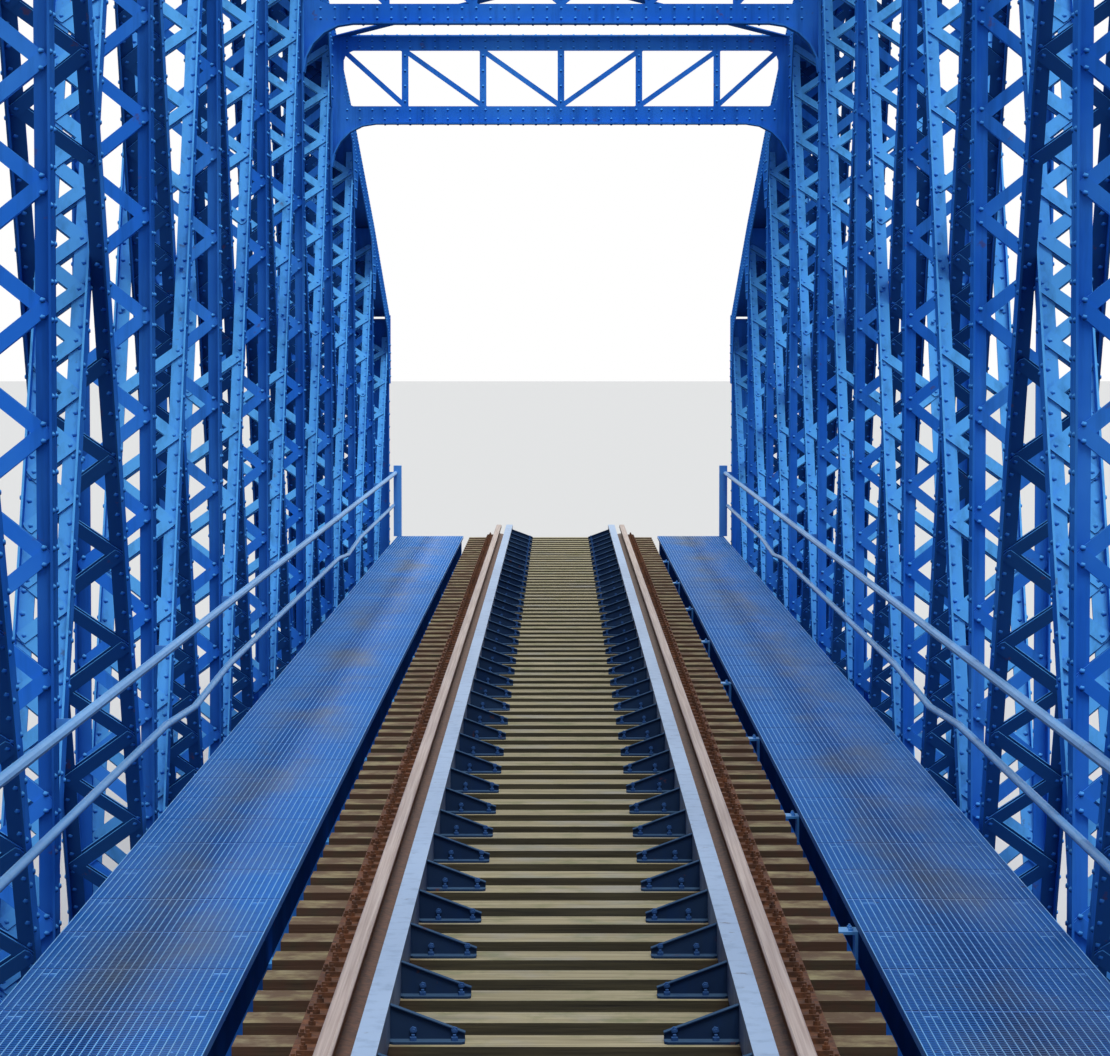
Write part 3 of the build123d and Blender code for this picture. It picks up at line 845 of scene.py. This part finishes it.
class BRIDGE_OT_strut_rivets(bpy.types.Operator):
    """Rivet the overhead struts"""

    bl_idname = "bridge.strut_rivets"
    bl_label = "Strut rivets"

    def execute(self, context):
        sizes = context.scene.bridge_sizes
        length, pitch, flange, web_half, clear_of_knee = 4.5, 0.13, 0.055, 0.008, 1.92
        top_rows, base_rows = (flange, 0.125), (flange, 0.15)
        uprights, upright_start, upright_margin = (-1.64, -0.82, 0, 0.82, 1.64), 0.24, 0.45
        places = []
        for index in STRUT_PANELS:
            top = chord_level(index) - STRUT_DROP
            depth = PORTAL_DEPTH if index in (STRUT_PANELS[0], STRUT_PANELS[-1]) else SWAY_DEPTH
            base = top - depth
            count = int(length / pitch)
            for step in range(count + 1):
                x = -length / 2 + length * step / count
                for z in [top - row for row in top_rows] + [base + row for row in base_rows]:
                    for face in (-1, 1):
                        position = (x, PANELS[index] + face * web_half, z)
                        places.append(placed(position, ACROSS, (0, face, 0)))
                for edge in (-flange, flange):
                    places.append(placed((x, PANELS[index] + edge, top), ACROSS, UP))
                    if abs(x) < clear_of_knee:
                        places.append(placed((x, PANELS[index] + edge, base), ACROSS, (0, 0, -1)))
            for upright in uprights:
                for step in range(4):
                    z = base + upright_start + step * (depth - upright_margin) / 3
                    for face in (-1, 1):
                        position = (upright, PANELS[index] + face * web_half, z)
                        places.append(placed(position, ACROSS, (0, face, 0)))
        lay_rivets("strut_rivets", sizes.rivet_radius * 0.9, places)
        return {"FINISHED"}


class BRIDGE_OT_gratings(bpy.types.Operator):
    """Lay the open gratings of both walkways, in panels with edges, seams and clips"""

    bl_idname = "bridge.gratings"
    bl_label = "Gratings"

    def execute(self, context):
        sizes = context.scene.bridge_sizes
        bar_height, strip_height, thickness, chamfer = 0.033, 0.039, 0.005, 0.0012
        rod_radius, rod_pitch, bar_gap, rod_gap, edge_gap = 0.0045, 0.038, 0.02, 0.01, 0.004
        # Depths below the walkway's top, then insets from a panel's edge.
        rod_depth, seam_depth, edge_depth, clip_depth = 0.006, 0.024, 0.02, 0.0105
        seam_inset, edge_inset, clip_inset, clip_share = 0.0045, 0.003, 0.1, 0.36
        for name, side in SIDES:
            low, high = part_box(name + "_walkway")
            inner, outer = min(abs(low.x), abs(high.x)), max(abs(low.x), abs(high.x))
            middle = side * (inner + outer) / 2
            width = outer - inner
            length = high.y - low.y
            panels = round(length / sizes.grating_panel)
            panel = length / panels
            bars = round(width / sizes.grating_pitch)
            along, across, edges, seams, clips = [], [], [], [], []
            for number in range(panels):
                centre = low.y + (number + 0.5) * panel
                for bar in range(1, bars):
                    x = side * (inner + bar * width / bars)
                    spot = (x, centre, high.z - bar_height / 2)
                    along.append(stretched(spot, (0, 1, 0), UP, panel - bar_gap))
                rods = round(panel / rod_pitch)
                for rod in range(1, rods):
                    y = centre - panel / 2 + rod * panel / rods
                    spot = (middle, y, high.z - rod_depth)
                    across.append(stretched(spot, ACROSS, UP, width - rod_gap))
                for end in (-1, 1):
                    y = centre + end * (panel / 2 - seam_inset)
                    seams.append(stretched((middle, y, high.z - seam_depth), ACROSS, UP, width))
                    x = middle + end * (width / 2 - edge_inset)
                    spot = (x, centre, high.z - edge_depth)
                    edges.append(stretched(spot, (0, 1, 0), UP, panel - edge_gap))
                    for run in (-clip_share, clip_share):
                        x = middle + end * (width / 2 - clip_inset)
                        clips.append(placed((x, centre + run * panel, high.z - clip_depth), ACROSS, UP))
            # The rods and seams take the darker copy of the paint as painted shade.
            paint, painted_shade_copy = material_of("grating_paint"), material_of("grating_rods")
            bar = start_block((1, thickness, bar_height))
            bevel_edges(bar, chamfer, lambda spot, run: abs(run.x) > 0.9 and spot.z > 0)
            long_bars = dress(laid_out(name + "_grating_bars", bar, along), paint)
            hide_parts(name + "_walkway")
            rod = start_round(rod_radius, 1, 4)
            rod.rotation_euler = (0, math.pi / 2, 0)
            bpy.ops.object.transform_apply(location=True, rotation=True, scale=True)
            cut_through((0, 0, 0), ACROSS)
            pick(rod, "EDGE", lambda spot, run: abs(spot.x) < 0.01 and abs(run.x) < 0.5)
            bpy.ops.transform.rotate(value=math.pi / 4, orient_axis="X", center_override=(0, 0, 0))
            finish_edit()
            rods = dress(laid_out(name + "_grating_rods", rod, across, True), painted_shade_copy)
            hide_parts(name + "_walkway")
            for kind, places, finish in (("edges", edges, paint), ("seams", seams, painted_shade_copy)):
                strip = start_block((1, thickness, strip_height))
                bevel_edges(strip, chamfer, lambda spot, run: abs(run.x) > 0.9 and spot.z > 0)
                strips = dress(laid_out(name + "_grating_" + kind, strip, places), finish)
                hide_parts(name + "_walkway")
            clip = start_block((0.06, 0.05, 0.012))
            pick(clip, "FACE", lambda spot, normal: normal.z > 0.9)
            bpy.ops.mesh.inset(thickness=0.012, depth=-0.004)
            finish_edit()
            rail_paint = material_of("rail_paint")
            saddles = dress(laid_out(name + "_grating_clips", clip, clips), rail_paint)
            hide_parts(name + "_walkway")
        return {"FINISHED"}


def rail_clip():
    """Bent clip that holds the rail's foot down, its toe towards -X."""
    clip = start_block((0.075, 0.055, 0.022))
    pick(clip, "FACE", lambda spot, normal: normal.x < -0.9)
    bpy.ops.mesh.extrude_region_move(TRANSFORM_OT_translate={"value": (-0.03, 0, 0.016)})
    bpy.ops.mesh.extrude_region_move(TRANSFORM_OT_translate={"value": (-0.028, 0, -0.004)})
    bpy.ops.transform.resize(value=(1, 0.8, 0.7))
    finish_edit()
    return clip


class BRIDGE_OT_fastenings(bpy.types.Operator):
    """Lay plates on the sleepers beside the rails, and clip and screw the rails down"""

    bl_idname = "bridge.fastenings"
    bl_label = "Rail fastenings"

    def execute(self, context):
        rust = material_of("rusted_iron")
        plate, clip_shift = 0.016, 0.125
        # Distances from the rail's line, then heights above the plates.
        plate_away, screw_away, clip_away, clip_screw_away = 0.119, 0.148, 0.105, 0.117
        clip_rise, clip_screw_rise = 0.012, 0.022
        plate_top = SLEEPER_TOP + plate
        for name, side in SIDES:
            strips, clips, screws = [], [], []
            rail = side * RAIL_LINE
            for face in (-1, 1):
                for y in SLEEPERS[::2]:
                    x = rail + face * plate_away
                    middle = (x, y + SLEEPER_PITCH / 2, SLEEPER_TOP + plate / 2)
                    strips.append(placed(middle, (face, 0, 0), UP))
                for y in SLEEPERS:
                    screws.append(placed((rail + face * screw_away, y, plate_top), (1, 0.4, 0), UP))
                    if face != side:
                        continue
                    for shift in (-clip_shift, clip_shift):
                        clip = (rail + face * clip_away, y + shift, plate_top + clip_rise)
                        clips.append(placed(clip, (face, 0, 0), UP))
                        x = rail + face * clip_screw_away
                        screw = (x, y + shift, plate_top + clip_screw_rise)
                        screws.append(placed(screw, ACROSS, UP))
            strip = start_block((0.102, 2 * SLEEPER_PITCH - 0.004, plate))
            pick(strip, "FACE", lambda spot, normal: normal.z > 0.9)
            bpy.ops.mesh.inset(thickness=0.006, depth=0)
            bpy.ops.transform.translate(value=(0, 0, 0.002))
            finish_edit()
            dress(laid_out(name + "_rail_plates", strip, strips), rust)
            dress(laid_out(name + "_rail_clips", rail_clip(), clips), rust)
            dress(laid_out(name + "_rail_screws", hex_bolt(0.016, 0.018), screws), rust)
        return {"FINISHED"}


class BRIDGE_OT_lower_handrails(bpy.types.Operator):
    """Draw the lower handrails with the shallow dips of the real tube"""

    bl_idname = "bridge.lower_handrails"
    bl_label = "Lower handrails"

    def execute(self, context):
        sizes = context.scene.bridge_sizes
        for name, _ in SIDES:
            low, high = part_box(name + "_lower_handrail")
            middle = (low + high) / 2
            radius = (high.z - low.z) / 2
            tube = start_round(radius, high.y - low.y, 16)
            tube.rotation_euler = (math.pi / 2, 0, 0)
            tube.location = middle
            bpy.ops.object.transform_apply(location=True, rotation=True, scale=True)
            for panel in DIPPED_BAYS:
                stations = [PANELS[panel] + share * BAY for share in DIP_SHARES]
                for station in stations:
                    cut_through((0, station, 0), (0, 1, 0))
                pick(tube, "EDGE", lambda spot, run: abs(spot.y - stations[1]) < 0.01 and abs(run.y) < 0.5)
                bpy.ops.transform.translate(value=(0, 0, -sizes.rail_dip))
                finish_edit()
            bpy.ops.object.shade_smooth_by_angle(angle=math.radians(40))
            tube.name = name + "_lower_rail_tube"
            dress(tube, material_of("rail_paint"))
            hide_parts(name + "_lower_handrail")
        return {"FINISHED"}


class BRIDGE_OT_bracket_feet(bpy.types.Operator):
    """Give each guard rail bracket its foot plate, bolts and sloping lip"""

    bl_idname = "bridge.bracket_feet"
    bl_label = "Bracket feet"

    def execute(self, context):
        foot_height, lip_chamfer, clipped = 0.010, 0.002, 0.014
        foot_middle, bolt_lines = 0.53, (0.425, 0.585)
        # Ends of the bracket's sloping edge: distance from the track's middle, and height.
        low_end, high_end = (0.385, SLEEPER_TOP + 0.034), (0.675, RAIL_TOP - 0.018)
        for name, side in SIDES:
            feet, bolts, edges = [], [], []
            for y in SLEEPERS[::2]:
                foot = (side * foot_middle, y - 0.043, SLEEPER_TOP + foot_height / 2)
                feet.append(placed(foot, ACROSS, UP))
                for x in bolt_lines:
                    upright = (side * x, y - 0.045, SLEEPER_TOP + foot_height)
                    bolts.append(placed(upright, (1, 0.3, 0), UP))
                    bolts.append(placed((side * x, y - 0.007, SLEEPER_TOP + 0.045), (1, 0, 0.3), (0, -1, 0)))
                start = Vector((side * low_end[0], y, low_end[1]))
                end = Vector((side * high_end[0], y, high_end[1]))
                run = end - start
                edges.append(stretched((start + end) / 2, run, (0, 1, 0), run.length))
            foot = start_block((0.29, 0.072, foot_height))
            bevel_edges(foot, clipped, lambda spot, run: abs(run.z) > 0.9 and spot.y < 0)
            dress(laid_out(name + "_bracket_feet", foot, feet), material_of("bracket_paint"))
            heads = laid_out(name + "_bracket_bolts", hex_bolt(0.014, 0.014), bolts)
            dress(heads, material_of("bolt_paint"))
            lip = start_block((1, 0.008, 0.034))
            bevel_edges(lip, lip_chamfer, lambda spot, run: abs(run.x) > 0.9)
            dress(laid_out(name + "_bracket_lips", lip, edges), material_of("bracket_paint"))
        return {"FINISHED"}


class BRIDGE_OT_bearer_cleats(bpy.types.Operator):
    """Bolt an angle cleat over each inner floor beam, in the gap beside the right walkway"""

    bl_idname = "bridge.bearer_cleats"
    bl_label = "Bearer cleats"

    def execute(self, context):
        reach, width, height, plate, bolt_shift = 0.1, 0.15, 0.15, 0.014, 0.04
        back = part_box("right_walkway_bearers")[0].x
        cleats, bolts = [], []
        for y in PANELS[1:-1]:
            cleats.append(placed((back - plate / 2, y, DECK + height / 2), ACROSS, UP))
            for shift in (-bolt_shift, bolt_shift):
                bolt = (back - reach / 3, y + shift, DECK + height)
                bolts.append(placed(bolt, (1, 0.3, 0), UP))
        cleat = start_block((plate, width, height))
        leg_end = height / 2 - plate
        cut_through((0, 0, leg_end), UP)
        pick(cleat, "FACE", lambda spot, normal: normal.x < -0.9 and spot.z > leg_end)
        bpy.ops.mesh.extrude_region_move(TRANSFORM_OT_translate={"value": (plate - reach, 0, 0)})
        finish_edit()
        paint = material_of("rail_paint")
        dress(laid_out("right_bearer_cleats", cleat, cleats), paint)
        dress(laid_out("right_cleat_bolts", hex_bolt(0.012, 0.012), bolts), paint)
        return {"FINISHED"}


class BRIDGE_OT_stage(bpy.types.Operator):
    """Set the floor, the light and the camera"""

    bl_idname = "bridge.stage"
    bl_label = "Stage"

    def execute(self, context):
        clear_selection()
        bpy.ops.mesh.primitive_plane_add(size=900, location=(0, 0, 0))
        floor = context.object
        floor.name = "floor"
        material, _, shader = new_material("stage floor")
        shader.inputs["Base Color"].default_value = (0.62, 0.62, 0.62, 1)
        shader.inputs["Roughness"].default_value = 1
        floor.data.materials.append(material)

        world = bpy.data.worlds.new("studio")
        context.scene.world = world
        world.use_nodes = True
        tree = world.node_tree
        tree.nodes.clear()
        path = add(tree, "ShaderNodeLightPath")
        seen = combine(tree, "MAXIMUM", path.outputs["Is Camera Ray"], path.outputs["Is Glossy Ray"])
        seen = combine(tree, "MAXIMUM", seen, path.outputs["Is Transmission Ray"])
        glow = add(tree, "ShaderNodeBackground", {"Color": (0.88, 0.94, 1, 1), "Strength": 0.55})
        white = add(tree, "ShaderNodeBackground", {"Color": (1, 1, 1, 1), "Strength": 1})
        mix = add(tree, "ShaderNodeMixShader", {0: seen, 1: glow.outputs[0], 2: white.outputs[0]})
        add(tree, "ShaderNodeOutputWorld", {"Surface": mix.outputs[0]})

        sun = bpy.data.lights.new("sun", "SUN")
        sun.energy = 2.4
        sun.angle = math.radians(25)
        sun.color = (1, 0.98, 0.95)
        lamp = bpy.data.objects.new("sun", sun)
        lamp.rotation_euler = (math.radians(24), math.radians(6), 0)
        context.scene.collection.objects.link(lamp)

        lens = bpy.data.cameras.new("camera")
        lens.lens = 119.5
        lens.sensor_width = 36
        lens.clip_end = 1000
        camera = bpy.data.objects.new("camera", lens)
        camera.location = (-0.022, -23.91, RAIL_TOP + 2.53)
        camera.rotation_euler = (math.radians(90 - 2.83), 0, math.radians(0.06))
        context.scene.collection.objects.link(camera)
        context.scene.camera = camera
        context.scene.view_settings.view_transform = "Standard"
        return {"FINISHED"}


OPERATORS = (
    BRIDGE_OT_finishes,
    BRIDGE_OT_lacing,
    BRIDGE_OT_post_rivets,
    BRIDGE_OT_diagonal_rivets,
    BRIDGE_OT_chord_rivets,
    BRIDGE_OT_strut_rivets,
    BRIDGE_OT_gratings,
    BRIDGE_OT_fastenings,
    BRIDGE_OT_lower_handrails,
    BRIDGE_OT_bracket_feet,
    BRIDGE_OT_bearer_cleats,
    BRIDGE_OT_stage,
)


class BRIDGE_PT_panel(bpy.types.Panel):
    """Lists the sizes, the colours and the steps"""

    bl_label = "Bridge span"
    bl_space_type = "VIEW_3D"
    bl_region_type = "UI"
    bl_category = "Bridge"

    def draw(self, context):
        for group in (context.scene.bridge_sizes, context.scene.bridge_colours):
            for name in group.__annotations__:
                self.layout.prop(group, name)
        for operator in OPERATORS:
            self.layout.operator(operator.bl_idname)


CLASSES = (BridgeSizes, BridgeColours) + OPERATORS + (BRIDGE_PT_panel,)


def register():
    for item in CLASSES:
        bpy.utils.register_class(item)
    bpy.types.Scene.bridge_sizes = bpy.props.PointerProperty(type=BridgeSizes)
    bpy.types.Scene.bridge_colours = bpy.props.PointerProperty(type=BridgeColours)


def unregister():
    del bpy.types.Scene.bridge_colours
    del bpy.types.Scene.bridge_sizes
    for item in reversed(CLASSES):
        bpy.utils.unregister_class(item)


def main():
    register()
    bpy.ops.bridge.finishes()
    bpy.ops.bridge.lacing()
    bpy.ops.bridge.post_rivets()
    bpy.ops.bridge.diagonal_rivets()
    bpy.ops.bridge.chord_rivets()
    bpy.ops.bridge.strut_rivets()
    bpy.ops.bridge.gratings()
    bpy.ops.bridge.fastenings()
    bpy.ops.bridge.lower_handrails()
    bpy.ops.bridge.bracket_feet()
    bpy.ops.bridge.bearer_cleats()
    bpy.ops.bridge.stage()
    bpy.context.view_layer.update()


if __name__ == "__main__":
    main()
